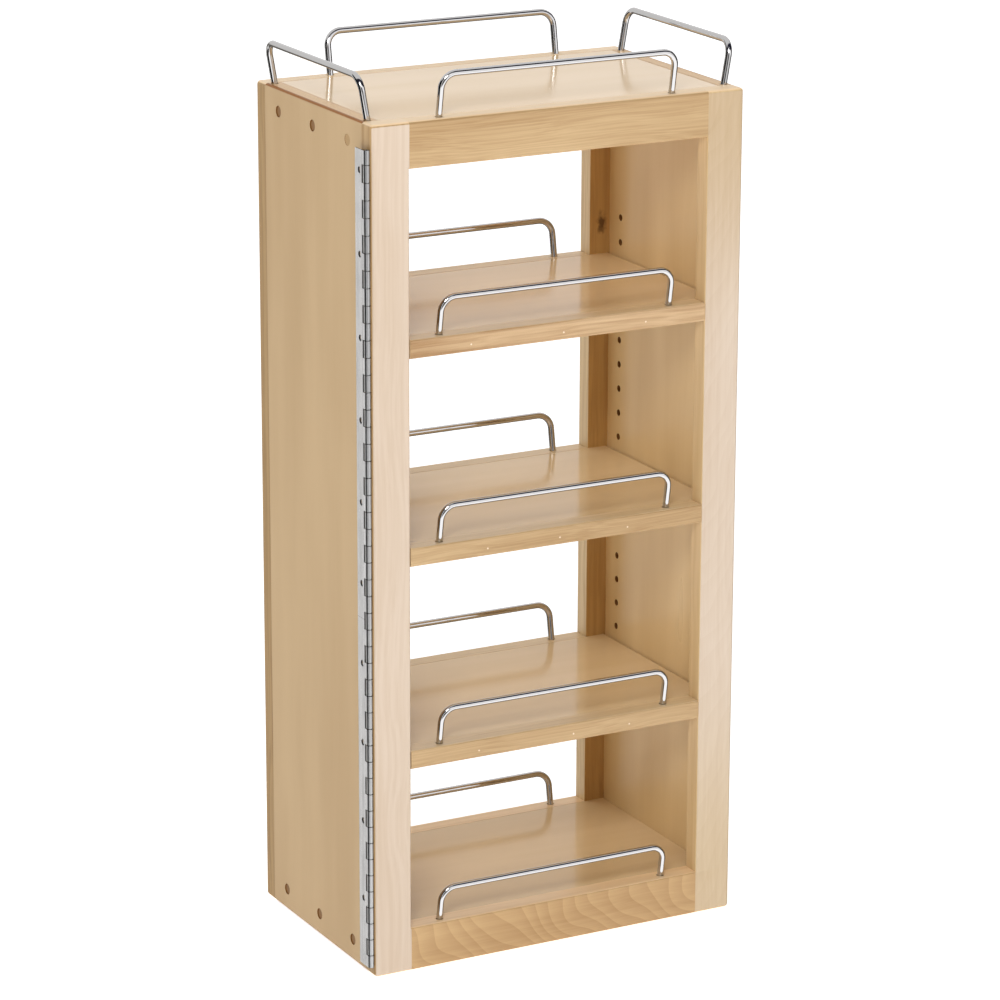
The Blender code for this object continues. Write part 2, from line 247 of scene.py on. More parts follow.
def round_edges(obj, low, high, soft, segments=5):
    """Rounds the named edges of a box, each by its own radius. An edge named clear is a stopped one."""
    mesh = obj.data
    middle, size = (low + high) / 2, high - low
    weights = mesh.attributes.new("bevel_weight_edge", "FLOAT", "EDGE")
    largest = max(soft.values())
    for names, radius in soft.items():
        sides = [FACES[name] for name in names.split() if name != "clear"]
        reach = 0.4 if "clear" in names.split() else 1
        for edge in mesh.edges:
            place = (mesh.vertices[edge.vertices[0]].co + mesh.vertices[edge.vertices[1]].co) / 2 - middle
            near = abs(place.z) < size.z * reach
            if near and all(place[axis] * sign > size[axis] * 0.49 for axis, sign in sides):
                weights.data[edge.index].value = radius / largest
    bevel = obj.modifiers.new("soft_edges", "BEVEL")
    bevel.limit_method = "WEIGHT"
    bevel.width = largest
    bevel.segments = segments


def board(node, soft, material, holes=(), tight="", stops=(), lift=0.0):
    """A board in the place of a node of the frame, with its edges rounded and its holes drilled.

    Its glued sides, named in tight, close most of the clearance that the frame leaves there. The
    rounding of its clear edges ends at the heights in stops. Its top is lifted by the finish on it.
    """
    low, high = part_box(node)
    high.z += lift
    for side in tight.split():
        axis, sign = FACES[side]
        (high if sign > 0 else low)[axis] += sign * GLUE_CLOSING
    bm = bmesh.new()
    add_box(bm, low, high)
    for height in stops:
        parts = bm.verts[:] + bm.edges[:] + bm.faces[:]
        bmesh.ops.bisect_plane(bm, geom=parts, plane_co=(0, 0, height), plane_no=(0, 0, 1))
    obj = new_object(node + "_wood", mesh_from(node, bm), material)
    round_edges(obj, low, high, soft)
    baked(obj)
    smooth(obj)
    tools = []
    if holes:
        bm = bmesh.new()
        for placement, radius, depth in holes:
            add_rod(bm, radius, -depth, DRILL_CLEAR, 24, placement)
        tools.append(add_tool(obj, bm))
    finished(obj, tools)
    return stand_for(obj, node)


# ---------------------------------------------------------------- materials


def tone(red, green, blue):
    """A colour, 0 to 255 a channel, as the linear values that shaders use."""

    def linear(channel):
        share = channel / 255
        return share / 12.92 if channel < 10 else ((share + 0.055) / 1.055) ** 2.4

    return (linear(red), linear(green), linear(blue), 1)


# Layers across the plywood, from its outer face: the dark cross band, the pale core, the inner cross band
PLY_LAYERS = (
    (0, tone(150, 92, 30)), (0.2, tone(160, 100, 36)), (0.26, tone(230, 190, 138)),
    (0.84, tone(234, 196, 146)), (0.9, tone(220, 178, 126)), (1, tone(214, 170, 118)),
)

# Painted shade for the walls of drilled holes, and how near a panel's ends its layers show instead
HOLE_WALL_SHADE = tone(134, 92, 50)
EDGE_LAYERS = 6 * MM

# Painted dark shade for steel's cut ends and edges, and the clips' plating
STEEL_END_SHADE = (0.05, 0.05, 0.05, 1)
CLIP_STEEL = (0.66, 0.65, 0.64, 1)

# Each wood's light and dark tones and how strong its streaks, clouds and growth rings are. The arches of
# the rings have the line that they hang from, their bend, their spacing and their wobble.
# Darker tones for the front left stile's side faces: painted shade where they show beside the hinge's
# knuckles
SIDE_FACE_SHADE = (tone(192, 158, 110), tone(172, 134, 84))
STILES = {
    ("front", "left"): {
        "tones": (tone(215, 196, 176), tone(198, 174, 147)), "edge_tones": SIDE_FACE_SHADE,
        "streaks": 0.4, "clouds": 0.3,
    },
    ("front", "right"): {
        "tones": (tone(219, 202, 183), tone(194, 168, 140)),
        "edge_tones": (tone(220, 190, 142), tone(210, 178, 128)),
        "streaks": 0.2, "clouds": 0.35, "ends": (0.33, 0.3, tone(240, 232, 210)),
        "figure": 0.1, "arches": (-116 * MM, 45, 24 * MM, 60 * MM),
    },
    ("back", "left"): {
        "tones": (tone(214, 184, 140), tone(186, 148, 100)),
        "edge_tones": (tone(176, 142, 92), tone(158, 122, 72)),
    },
    # The back right stile's dark tones on its front and back are painted shade, and its pale edge tones on
    # its sides painted light
    ("back", "right"): {
        "tones": (tone(194, 152, 92), tone(152, 108, 52)),
        "edge_tones": (tone(230, 206, 162), tone(210, 182, 134)),
        "knot": ((0.1345, 0.081, 0.508), (0.0028, 0.012, 0.006)),
    },
}
STREAKY_RAIL = {
    "tones": (tone(206, 175, 130), tone(162, 124, 76)), "streaks": 0.4, "clouds": 0.5, "fineness": 800,
}
SLANTED_LIP = {
    "tones": (tone(218, 186, 144), tone(156, 114, 66)), "streaks": 0.45, "clouds": 0.5, "fineness": 420,
    "figure": 0.35, "arches": (0.1, -60, 30 * MM, 30 * MM),
}
ARCHED_RAIL = {
    "tones": (tone(204, 168, 118), tone(156, 114, 62)), "streaks": 0.15, "clouds": 0.35,
    "figure": 0.3, "arches": (36 * MM, 24, 15 * MM, 45 * MM),
}
PANEL_TONES = {
    "left": (tone(200, 169, 124), tone(184, 151, 106)),
    "right": (tone(230, 202, 152), tone(210, 177, 122)),
}
DECK_TONES = (tone(248, 216, 172), tone(238, 204, 156))
SHELF_TONES = (tone(228, 202, 160), tone(214, 186, 142))
SHELF_SHINE = 0.3

# Tones and shine of the carcass's decks
DECK_LOOKS = {"top": (DECK_TONES, 0.5), "bottom": (SHELF_TONES, SHELF_SHINE)}


class Nodes:
    """Builds one material's node tree."""

    def __init__(self, name):
        self.material = bpy.data.materials.new(name)
        self.material.use_nodes = True
        self.tree = self.material.node_tree
        self.shader = self.tree.nodes["Principled BSDF"]
        coordinates = self.add("TexCoord")
        self.place = coordinates.outputs["Object"]
        self.normal = coordinates.outputs["Normal"]

    def add(self, kind, settings=None, inputs=None):
        made = self.tree.nodes.new("ShaderNode" + kind)
        for key, value in (settings or {}).items():
            setattr(made, key, value)
        for key, value in (inputs or {}).items():
            self.put(value, made.inputs[key])
        return made

    def put(self, value, socket):
        if isinstance(value, bpy.types.NodeSocket):
            self.tree.links.new(value, socket)
        else:
            socket.default_value = value

    def set(self, **inputs):
        for key, value in inputs.items():
            self.put(value, self.shader.inputs[key.replace("_", " ")])

    def math(self, operation, first, second=0.0, clamp=False):
        settings = {"operation": operation, "use_clamp": clamp}
        return self.add("Math", settings, {0: first, 1: second}).outputs[0]

    def multiply_add(self, value, factors, vector):
        made = self.add("VectorMath", {"operation": "MULTIPLY_ADD"}, {0: value, 1: factors, 2: vector})
        return made.outputs[0]

    def stretch(self, vector, scale, turn=(0, 0, 0), shift=(0, 0, 0)):
        inputs = {"Vector": vector, "Scale": scale, "Rotation": turn, "Location": shift}
        return self.add("Mapping", None, inputs).outputs[0]

    def turned(self, axis, low=0.45, high=0.8, either_way=True):
        """How much the surface faces along an axis of the object."""
        made = self.add("VectorMath", {"operation": "DOT_PRODUCT"}, {0: self.normal, 1: axis})
        dot = made.outputs["Value"]
        return self.remap(self.math("ABSOLUTE", dot) if either_way else dot, low, high)

    def height_from(self, middle):
        """How far the surface is above or below a height."""
        height = self.add("SeparateXYZ", None, {0: self.place}).outputs["Z"]
        return self.math("ABSOLUTE", self.math("SUBTRACT", height, middle))

    def around(self, place, size):
        """The object's space as seen from a place in it, with lengths in units of a size."""
        inputs = {"Vector": self.place, "Location": place, "Scale": size}
        return self.add("Mapping", {"vector_type": "TEXTURE"}, inputs).outputs[0]

    def noise(self, vector, detail=2.0, roughness=0.5):
        inputs = {"Vector": vector, "Scale": 1, "Detail": detail, "Roughness": roughness}
        return self.add("TexNoise", None, inputs).outputs["Fac"]

    def remap(self, value, low, high, to_low=0.0, to_high=1.0, smooth_step=True):
        kind = "SMOOTHSTEP" if smooth_step else "LINEAR"
        inputs = {"Value": value, "From Min": low, "From Max": high, "To Min": to_low, "To Max": to_high}
        return self.add("MapRange", {"interpolation_type": kind}, inputs).outputs[0]

    def mix(self, factor, first, second, blend="MIX"):
        made = self.add("Mix", {"data_type": "RGBA", "blend_type": blend}, {0: factor, 6: first, 7: second})
        return made.outputs[2]

    def ramp(self, factor, stops):
        made = self.add("ValToRGB", None, {"Fac": factor})
        elements = made.color_ramp.elements
        while len(elements) < len(stops):
            elements.new(0.5)
        for element, (position, colour) in zip(elements, stops):
            element.position = position
            element.color = colour
        return made.outputs["Color"]

    def bump(self, height, distance, strength=1.0):
        inputs = {"Height": height, "Distance": distance, "Strength": strength}
        self.put(self.add("Bump", None, inputs).outputs[0], self.shader.inputs["Normal"])


# Turns that bring each grain direction onto the texture's X axis
GRAIN_TURNS = {"x": (0, 0, 0), "y": (0, 0, -pi / 2), "z": (0, pi / 2, 0)}
GRAIN_WAVES = 12 * MM


def grain_space(nodes, grain, seed):
    """The object's own space with X along the grain, shifted and bent so that no two boards match."""
    shift = (seed * 0.731, seed * 0.417, seed * 0.293)
    straight = nodes.stretch(nodes.place, (1, 1, 1), GRAIN_TURNS[grain], shift)
    wander = nodes.noise(nodes.stretch(straight, (9, 24, 24)), 1.0, 0.5)
    return nodes.multiply_add(wander, (0, GRAIN_WAVES, GRAIN_WAVES), straight)


def growth(nodes, grain, top, bend, period, wobble):
    """Growth rings cut as nested arches along the grain, each hung from a line and bent back below it."""
    straight = nodes.stretch(nodes.place, (1, 1, 1), GRAIN_TURNS[grain])
    wander = nodes.noise(nodes.stretch(nodes.place, (22, 22, 22)), 0.0, 0.5)
    below = nodes.math("SUBTRACT", top, nodes.add("SeparateXYZ", None, {0: straight}).outputs["Z"])
    back = nodes.math("MULTIPLY", nodes.math("MULTIPLY", below, below), -bend)
    back = nodes.math("ADD", back, nodes.math("MULTIPLY", wander, wobble))
    inputs = {
        "Vector": nodes.multiply_add(back, (1, 0, 0), straight), "Scale": pi / 10 / period,
        "Distortion": 0.5, "Detail": 1.0, "Detail Scale": 0.3,
    }
    kind = {"wave_type": "BANDS", "bands_direction": "X", "wave_profile": "SAW"}
    return nodes.add("TexWave", kind, inputs).outputs["Fac"]


def grain_colour(
    nodes, grain, seed, light, dark, figure=0.0, streaks=0.4, clouds=0.4, fibres=0.25, fineness=330,
    arches=None,
):
    """Wood as it is sawn: growth rings, soft clouds, long streaks and fine fibres between two tones."""
    space = grain_space(nodes, grain, seed)
    cloud = nodes.noise(nodes.stretch(space, (3, 22, 22)), 2.0, 0.5)
    streak = nodes.noise(nodes.stretch(space, (5, fineness, fineness)), 3.0, 0.55)
    fibre = nodes.noise(nodes.stretch(space, (45, 1500, 1500)), 2.0, 0.6)
    value = nodes.math("MULTIPLY", nodes.remap(cloud, 0.3, 0.7), clouds)
    if figure:
        ring = growth(nodes, grain, *arches)
        value = nodes.math("ADD", value, nodes.math("MULTIPLY", ring, figure))
    value = nodes.math("ADD", value, nodes.math("MULTIPLY", nodes.remap(streak, 0.3, 0.72), streaks))
    value = nodes.math("ADD", value, nodes.math("MULTIPLY", nodes.math("SUBTRACT", fibre, 0.5), fibres))
    colour = nodes.mix(nodes.math("MULTIPLY", value, 1.0, clamp=True), light, dark)
    return colour, fibre, streak, cloud


def solid_wood(
    name, grain, seed, tones, edge_tones=None, face_axis=(0, 1, 1), either_way=True, gloss=0.34, knot=None,
    ends=None, top=None, **figure,
):
    """Sawn wood, in other tones off its wide face, with a knot and with tinted ends if it has them."""
    nodes = Nodes(name)
    colour, fibre, streak, cloud = grain_colour(nodes, grain, seed, *tones, **figure)
    if ends:
        middle, half, tint = ends
        away = nodes.remap(nodes.height_from(middle), half * 0.35, half)
        colour = nodes.mix(away, colour, tint, "MULTIPLY")
    if edge_tones:
        edge = nodes.mix(nodes.remap(streak, 0.35, 0.7), *edge_tones)
        colour = nodes.mix(nodes.turned(face_axis, either_way=either_way), edge, colour)
    if top:
        colour = nodes.mix(nodes.turned((0, 0, 1)), colour, top)
    if knot:
        place, size = knot
        apart = nodes.add("VectorMath", {"operation": "LENGTH"}, {0: nodes.around(place, size)})
        ragged = nodes.noise(nodes.stretch(nodes.place, (260, 260, 160)), 2.0, 0.6)
        away = nodes.math("ADD", apart.outputs["Value"], nodes.remap(ragged, 0.3, 0.7, -0.45, 0.45))
        colour = nodes.mix(nodes.remap(away, 1.9, 0.2, 0, 0.85), colour, tone(74, 44, 12))
    nodes.set(Base_Color=colour, IOR=1.5)
    nodes.set(Roughness=nodes.remap(cloud, 0.2, 0.8, gloss - 0.05, gloss + 0.06))
    nodes.bump(fibre, 0.05 * MM, 0.4)
    return nodes.material


def plywood(
    name, grain, seed, tones, through, outer, inner, gloss=0.34, shine=0.5, drilled=None, **figure,
):
    """Face veneers with the darker cross bands and the core showing where an edge cuts through them.

    The walls of holes are painted dark as shade, and are told from the edges by their height, between those
    in drilled.
    """
    nodes = Nodes(name)
    colour, fibre, _, cloud = grain_colour(nodes, grain, seed, *tones, **figure)
    depth = nodes.remap(
        nodes.add("SeparateXYZ", None, {0: nodes.place}).outputs["xyz".index(through)], outer, inner,
        smooth_step=False,
    )
    layers = nodes.ramp(depth, PLY_LAYERS)
    speckle = nodes.noise(nodes.stretch(nodes.place, (700, 500, 700)), 3.0, 0.6)
    layers = nodes.mix(nodes.remap(speckle, 0.35, 0.8, 0, 0.3), layers, tone(168, 124, 80))
    if drilled:
        low, high = drilled
        away = nodes.height_from((low + high) / 2)
        half = (high - low) / 2
        # Painted shade: the walls of the holes take a dark colour in place of the layers
        layers = nodes.mix(nodes.remap(away, half - MM, half), HOLE_WALL_SHADE, layers)
    veneer = nodes.turned(["xyz".index(through) == axis for axis in range(3)], 0.75, 0.95)
    nodes.set(Base_Color=nodes.mix(veneer, layers, colour))
    nodes.set(Roughness=nodes.remap(cloud, 0.2, 0.8, gloss * 0.9, gloss * 1.1), IOR=1.5)
    nodes.set(Specular_IOR_Level=nodes.remap(veneer, 0, 1, shine * 0.3, shine))
    nodes.bump(fibre, 0.03 * MM, gloss)
    return nodes.material


def chrome():
    nodes = Nodes("chrome")
    haze = nodes.noise(nodes.stretch(nodes.place, (60, 60, 60)), 3.0)
    nodes.set(Base_Color=(0.55, 0.54, 0.54, 1), Metallic=1.0)
    nodes.set(Roughness=nodes.remap(haze, 0.3, 0.7, 0.03, 0.06))
    return nodes.material


def plated_steel(name, colour, rolled, cut, roughness, flat_from=0.0):
    """Rolled sheet with faint lengthwise draw lines under its plating, with a painted shade in its tone
    where rolled up and a painted dark shade where cut.

    Beyond the line flat_from in Y the sheet is flat, so what faces elsewhere there is cut.
    """
    nodes = Nodes(name)
    lines = nodes.noise(nodes.stretch(nodes.place, (1600, 1600, 8)), 2.0)
    cloud = nodes.noise(nodes.stretch(nodes.place, (90, 90, 40)), 3.0)
    shade = [c * 0.86 for c in colour[:3]] + [1]
    sheet = nodes.mix(nodes.remap(cloud, 0.35, 0.7), colour, shade)
    across = nodes.add("SeparateXYZ", None, {0: nodes.place}).outputs["Y"]
    # Painted shade: curled faces near the pin take the rolled tone, and the strip's edges beyond flat_from
    # the dark cut tone
    edge = nodes.mix(nodes.remap(across, flat_from, flat_from + MM), rolled, cut)
    sheet = nodes.mix(nodes.turned((1, 0, 0), 0.86, 0.99), edge, sheet)
    # Painted dark shade: faces that point up or down take the near-black cut tone
    sheet = nodes.mix(nodes.turned((0, 0, 1), 0.8, 0.95), sheet, cut)
    nodes.set(Base_Color=sheet, Metallic=1.0)
    nodes.set(Roughness=nodes.remap(lines, 0.3, 0.7, roughness - 0.06, roughness + 0.08))
    nodes.bump(lines, 0.01 * MM, 0.5)
    return nodes.material


# ---------------------------------------------------------------- wire rails


def wire_placement(seat, yaw):
    """Stands at a seat, turned about Z so that a wire leans outwards."""
    return Matrix.Translation(seat) @ Euler((WIRE_LEAN, 0, yaw)).to_matrix().to_4x4()


def wire_facts(node, seat_node, yaw):
    """Where a wire rail of the frame stands, how far apart its legs are and how high it rises."""
    low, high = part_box(node)
    seat_low, seat_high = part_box(seat_node)
    middle = (seat_low + seat_high) / 2
    along = 0 if abs(sin(yaw)) < 0.5 else 1
    seat = Vector((middle.x, middle.y, seat_high.z))
    seat[along] = (low[along] + high[along]) / 2
    half = (high[along] - low[along]) / 2 - WIRE_RADIUS
    rise = (high.z - seat_high.z - WIRE_RADIUS * cos(WIRE_LEAN)) / cos(WIRE_LEAN)
    return wire_placement(seat, yaw), half, rise


def wire_rail(node, placement, half, rise, material):
    """A rod that rises from one socket, bends over and goes down into the other."""
    points = [(-half, 0, -WIRE_INSERT), (-half, 0, 0)]
    for side in (-1, 1):
        arc = [
            (
                side * (half - WIRE_BEND + WIRE_BEND * cos(step * pi / 2 / BEND_STEPS)),
                0,
                rise - WIRE_BEND + WIRE_BEND * sin(step * pi / 2 / BEND_STEPS),
            )
            for step in range(BEND_STEPS + 1)
        ]
        points += arc if side < 0 else arc[::-1]
    points += [(half, 0, 0), (half, 0, -WIRE_INSERT)]
    curve = bpy.data.curves.new(node + "_rod", "CURVE")
    curve.dimensions = "3D"
    curve.bevel_depth = WIRE_RADIUS
    curve.bevel_resolution = 6
    curve.use_fill_caps = True
    spline = curve.splines.new("POLY")
    spline.points.add(len(points) - 1)
    for point, place in zip(spline.points, points):
        point.co = (*(placement @ Vector(place)), 1)
        point.radius = 1
    spline.use_smooth = True
    rod = new_object(node + "_rod", curve, material)
    return stand_for(rod, node)


def wires_and_sockets(material):
    """Builds every wire rail and returns the holes that their feet need, by board."""
    seats = {}
    for face, yaw in (("front", 0), ("back", pi)):
        for level in ("top", "bottom"):
            seats[f"{level}_{face}_wire"] = (f"{face}_{level}_rail", yaw)
        for level in SHELVES:
            seats[f"{level}_shelf_{face}_wire"] = (f"{level}_shelf_{face}_lip", yaw)
    for side, yaw in (("left", -pi / 2), ("right", pi / 2)):
        seats[f"top_{side}_wire"] = (f"side_panel_{side}", yaw)
    sockets = {}
    for node, (seat_node, yaw) in seats.items():
        placement, half, rise = wire_facts(node, seat_node, yaw)
        wire_rail(node, placement, half, rise, material)
        sockets[seat_node] = [
            (placement @ Matrix.Translation((x, 0, 0)), SOCKET_RADIUS, SOCKET_DEPTH) for x in (-half, half)
        ]
    return sockets


# ---------------------------------------------------------------- boards


def peg_height(level):
    """Height of the pegs under a shelf."""
    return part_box(f"shelf_clip_{level}_left_front")[1].z - CLIP_ABOVE_PEG


def clip_holes(side):
    """The two columns of holes in a panel's inner face."""
    low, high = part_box(f"side_panel_{side}")
    facing = 1 if side == "left" else -1
    x = high.x if side == "left" else low.x
    turn = Matrix.Rotation(facing * pi / 2, 4, "Y")
    first_z = peg_height("lower") - HOLES_BELOW_LOWEST_PEG * HOLE_PITCH
    holes = []
    for place in ("front", "back"):
        clip_low, clip_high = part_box(f"shelf_clip_lower_{side}_{place}")
        y = (clip_low.y + clip_high.y) / 2
        for step in range(HOLE_COUNT):
            centre = Matrix.Translation((x, y, first_z + step * HOLE_PITCH))
            holes.append((centre @ turn, HOLE_RADIUS, HOLE_DEPTH))
    return holes


def plug_seats(side):
    """Placements of a side's plugs, Z pointing out of the panel, mirrored from the left side's nodes."""
    panel_low, panel_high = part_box(f"side_panel_{side}")
    x = panel_low.x if side == "left" else panel_high.x
    turn = Matrix.Rotation(-pi / 2 if side == "left" else pi / 2, 4, "Y")
    seats = {}
    for level in ("bottom", "top"):
        for place in ("front", "middle", "back"):
            low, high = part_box(f"wood_plug_{level}_{place}")
            centre = (low + high) / 2
            seats[f"{level}_{place}"] = Matrix.Translation((x, centre.y, centre.z)) @ turn
    return seats


def make_plugs(dark, pale):
    """Plugs on both sides. The one at the top front is flush and pale, the others are sunk."""
    for side in ("left", "right"):
        for name, placement in plug_seats(side).items():
            bm = bmesh.new()
            flush = name == "top_front"
            recess, radius = (FLUSH_RECESS, FLUSH_RADIUS) if flush else (PLUG_RECESS, PLUG_RADIUS)
            add_rod(bm, radius, -recess - PLUG_THICK, -recess, 40)
            material = pale if flush else dark
            plug = new_object(f"plug_{side}_{name}", mesh_from("plug", bm), material)
            plug.matrix_world = placement
            bevel = plug.modifiers.new("soft_rim", "BEVEL")
            bevel.width = recess / 2
            bevel.segments = 3
            baked(plug)
            finished(smooth(plug))
            if side == "left":
                stand_for(plug, f"wood_plug_{name}")
            else:
                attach(plug, BODY_OF["side_panel_right"])


def make_stile(face, side, material, holes):
    inner = "right" if side == "left" else "left"
    inward = "back" if face == "front" else "front"
    soft = {
        f"{face} {side}": OUTER_ROUND, f"{face} top": OUTER_ROUND, f"{side} top": OUTER_ROUND,
        f"{face} bottom": OUTER_ROUND, f"{side} bottom": OUTER_ROUND,
        f"{face} {inner} clear": BAY_ROUND, f"{inward} {inner} clear": BAY_ROUND / 2,
    }
    stops = (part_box("front_bottom_rail")[1].z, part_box("front_top_rail")[0].z)
    board(f"{face}_stile_{side}", soft, material, holes, "back" if face == "front" else "front", stops)


def make_boards(sockets):
    for index, (face, side) in enumerate((f, s) for f in ("front", "back") for s in ("left", "right")):
        node = f"{face}_stile_{side}"
        look = STILES[face, side]
        make_stile(
            face, side, solid_wood(node, "z", 3.1 + index, top=DECK_TONES[0], **look),
            screw_holes() if index == 0 else (),
        )
    for index, (level, face) in enumerate((v, f) for v in ("top", "bottom") for f in ("front", "back")):
        node = f"{face}_{level}_rail"
        opposite = "bottom" if level == "top" else "top"
        soft = {f"{face} {level}": OUTER_ROUND, f"{face} {opposite}": BAY_ROUND}
        look = ARCHED_RAIL if level == "bottom" else STREAKY_RAIL
        outward = (0, -1 if face == "front" else 1, 0)
        material = solid_wood(
            node, "x", 11.3 + index, edge_tones=DECK_TONES, face_axis=outward, either_way=False, **look
        )
        board(node, soft, material, sockets[node], "left right")
    for side in ("left", "right"):
        node = f"side_panel_{side}"
        low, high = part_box(node)
        seats = [(placement, PLUG_SEAT_RADIUS, PLUG_SEAT_DEPTH) for placement in plug_seats(side).values()]
        outer, inner = (low.x, high.x) if side == "left" else (high.x, low.x)
        material = plywood(
            node, "z", 21.7 + (side == "left"), PANEL_TONES[side], "x", outer, inner, gloss=0.3,
            drilled=(low.z + EDGE_LAYERS, high.z - EDGE_LAYERS), streaks=0.07, clouds=0.6, fibres=0.12,
        )
        soft = {f"{side} top": OUTER_ROUND, f"{side} bottom": OUTER_ROUND}
        board(node, soft, material, sockets[node] + clip_holes(side) + seats, "front back")
    for number, level in enumerate(("top", "bottom")):
        make_deck(f"{level}_deck", 31.9 + number, "front back left right", *DECK_LOOKS[level])
        for side in ("left", "right"):
            node = f"{level}_cleat_{side}"
            material = solid_wood(node, "y", 41.3 + number, DECK_TONES)
            board(node, {"left bottom": CLEAT_ROUND, "right bottom": CLEAT_ROUND}, material)
    for number, level in enumerate(SHELVES):
        make_deck(f"{level}_shelf_deck", 51.1 + number, "front back", SHELF_TONES, SHELF_SHINE)
        for step, face in enumerate(("front", "back")):
            node = f"{level}_shelf_{face}_lip"
            seed = 61.7 + number * 2 + step
            outward = (0, -1 if face == "front" else 1, 0)
            look = SLANTED_LIP if level == "upper" else STREAKY_RAIL
            material = solid_wood(
                node, "x", seed, edge_tones=SHELF_TONES, face_axis=outward, either_way=False, **look
            )
            soft = {f"{face} top": LIP_ROUND, f"{face} bottom": LIP_ROUND}
            board(node, soft, material, sockets[node])


def make_deck(node, seed, glued, tones, shine):
    low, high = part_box(node)
    material = plywood(
        node, "x", seed, tones, "z", low.z, high.z, gloss=0.14, shine=shine, streaks=0.07, clouds=0.6,
        fibres=0.08,
    )
    soft = {"left top": DECK_ROUND, "right top": DECK_ROUND}
    board(node, soft, material, tight=glued, lift=DECK_LIFT)


def make_brad_fillers(material):
    for number, level in enumerate(SHELVES):
        for face in ("front", "back"):
            low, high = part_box(f"{level}_shelf_{face}_lip")
            outward = -1 if face == "front" else 1
            y = low.y if face == "front" else high.y
            turn = Matrix.Rotation(-outward * pi / 2, 4, "X")
            bm = bmesh.new()
            for step, place in enumerate(BRAD_PLACES):
                x = (low.x + high.x) / 2 + place + BRAD_WANDER * sin(2.1 * number + 1.7 * step)
                centre = Matrix.Translation((x, y, low.z + BRAD_ABOVE_EDGE)) @ turn
                add_rod(bm, BRAD_RADIUS, -BRAD_LENGTH, BRAD_PROUD, 16, centre, BRAD_RADIUS * 0.85)
            filler = new_object(f"{level}_{face}_brad_fillers", mesh_from("brad_fillers", bm), material)
            smooth(filler)
            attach(filler, BODY_OF[f"{level}_shelf_{face}_lip"])


# ---------------------------------------------------------------- shelf clips


def clip_mesh(tab_low, tab_high, reach):
    """A peg, a plate that hangs down and a tab that turns inwards, around the peg's centre."""
    gap = CLIP_GAP
    half = CLIP_WIDTH / 2
    bm = bmesh.new()
    add_box(bm, (gap, -half, tab_low), (gap + CLIP_SHEET, half, CLIP_ABOVE_PEG))
    clip = new_object("clip", mesh_from("clip", bm))
    bm = bmesh.new()
    add_box(bm, (gap + CLIP_SHEET / 2, gap - half, tab_low + gap / 2), (reach, half - gap, tab_high))
    tools = [add_tool(clip, bm, "UNION")]
    bevel = clip.modifiers.new("soft_edges", "BEVEL")
    bevel.width = CLIP_ROUND
    bevel.segments = 2
    baked(clip)
    bm = bmesh.new()
    add_rod(bm, PEG_RADIUS, -PEG_LENGTH, gap + CLIP_SHEET / 2, 24, Matrix.Rotation(pi / 2, 4, "Y"))
    tools.append(add_tool(clip, bm, "UNION"))
    finished(clip, tools)
    mesh = clip.data
    bpy.data.objects.remove(clip)
    return mesh


def make_clips(material):
    low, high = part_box("shelf_clip_lower_left_front")
    peg = peg_height("lower")
    panel_low, panel_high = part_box("side_panel_left")
    tab_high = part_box("lower_shelf_deck")[0].z - CLIP_GAP - peg
    mesh = clip_mesh(low.z - peg, tab_high, high.x - panel_high.x)
    mesh.materials.append(material)
    for level in SHELVES:
        for side in ("left", "right"):
            panel_low, panel_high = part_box(f"side_panel_{side}")
            for place in ("front", "back"):
                node = f"shelf_clip_{level}_{side}_{place}"
                low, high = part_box(node)
                clip = new_object(node + "_steel", mesh)
                clip.location.x = panel_high.x if side == "left" else panel_low.x
                clip.location.y = (low.y + high.y) / 2
                clip.location.z = peg_height(level)
                clip.rotation_euler.z = 0 if side == "left" else pi
                stand_for(clip, node)


# ---------------------------------------------------------------- hinge


def hinge_axis():
    return Vector(JOINTS["continuous_hinge"]["pos_m"][:2]).to_3d()


def screw_heights():
    return [SCREW_TOP - step * SCREW_PITCH for step in range(SCREW_COUNT)]


def screw_holes():
    """Pilot holes for the fixed leaf's screws in the stile behind it."""
    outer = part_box("front_stile_left")[0].x
    turn = Matrix.Rotation(-pi / 2, 4, "Y")
    y = hinge_axis().y + SCREW_OFFSET
    return [
        (Matrix.Translation((outer, y, z)) @ turn, SCREW_SHANK_RADIUS, SCREW_LENGTH)
        for z in screw_heights()
    ]


def knuckle_spans(bottom, top):
    """Heights of the free leaf's knuckles and of the fixed leaf's, from the top down."""
    edges = [top, top - TOP_KNUCKLE]
    while edges[-1] - KNUCKLE_LENGTH > bottom + KNUCKLE_LENGTH / 2:
        edges.append(edges[-1] - KNUCKLE_LENGTH)
    edges.append(bottom)
    spans = list(zip(edges[1:], edges[:-1]))
    return spans[0::2], spans[1::2]


def curl_ring(side):
    """Inner and outer outlines of a knuckle, from the leaf's notch line down and round the pin."""
    inner = [(side * KNUCKLE_INNER, LEAF_NOTCH)]
    outer = [(side * KNUCKLE_OUTER, LEAF_NOTCH)]
    for step in range(CURL_STEPS + 1):
        angle = -CURL * step / CURL_STEPS
        inner.append((side * KNUCKLE_INNER * cos(angle), KNUCKLE_INNER * sin(angle)))
        outer.append((side * KNUCKLE_OUTER * cos(angle), KNUCKLE_OUTER * sin(angle)))
    return inner, outer


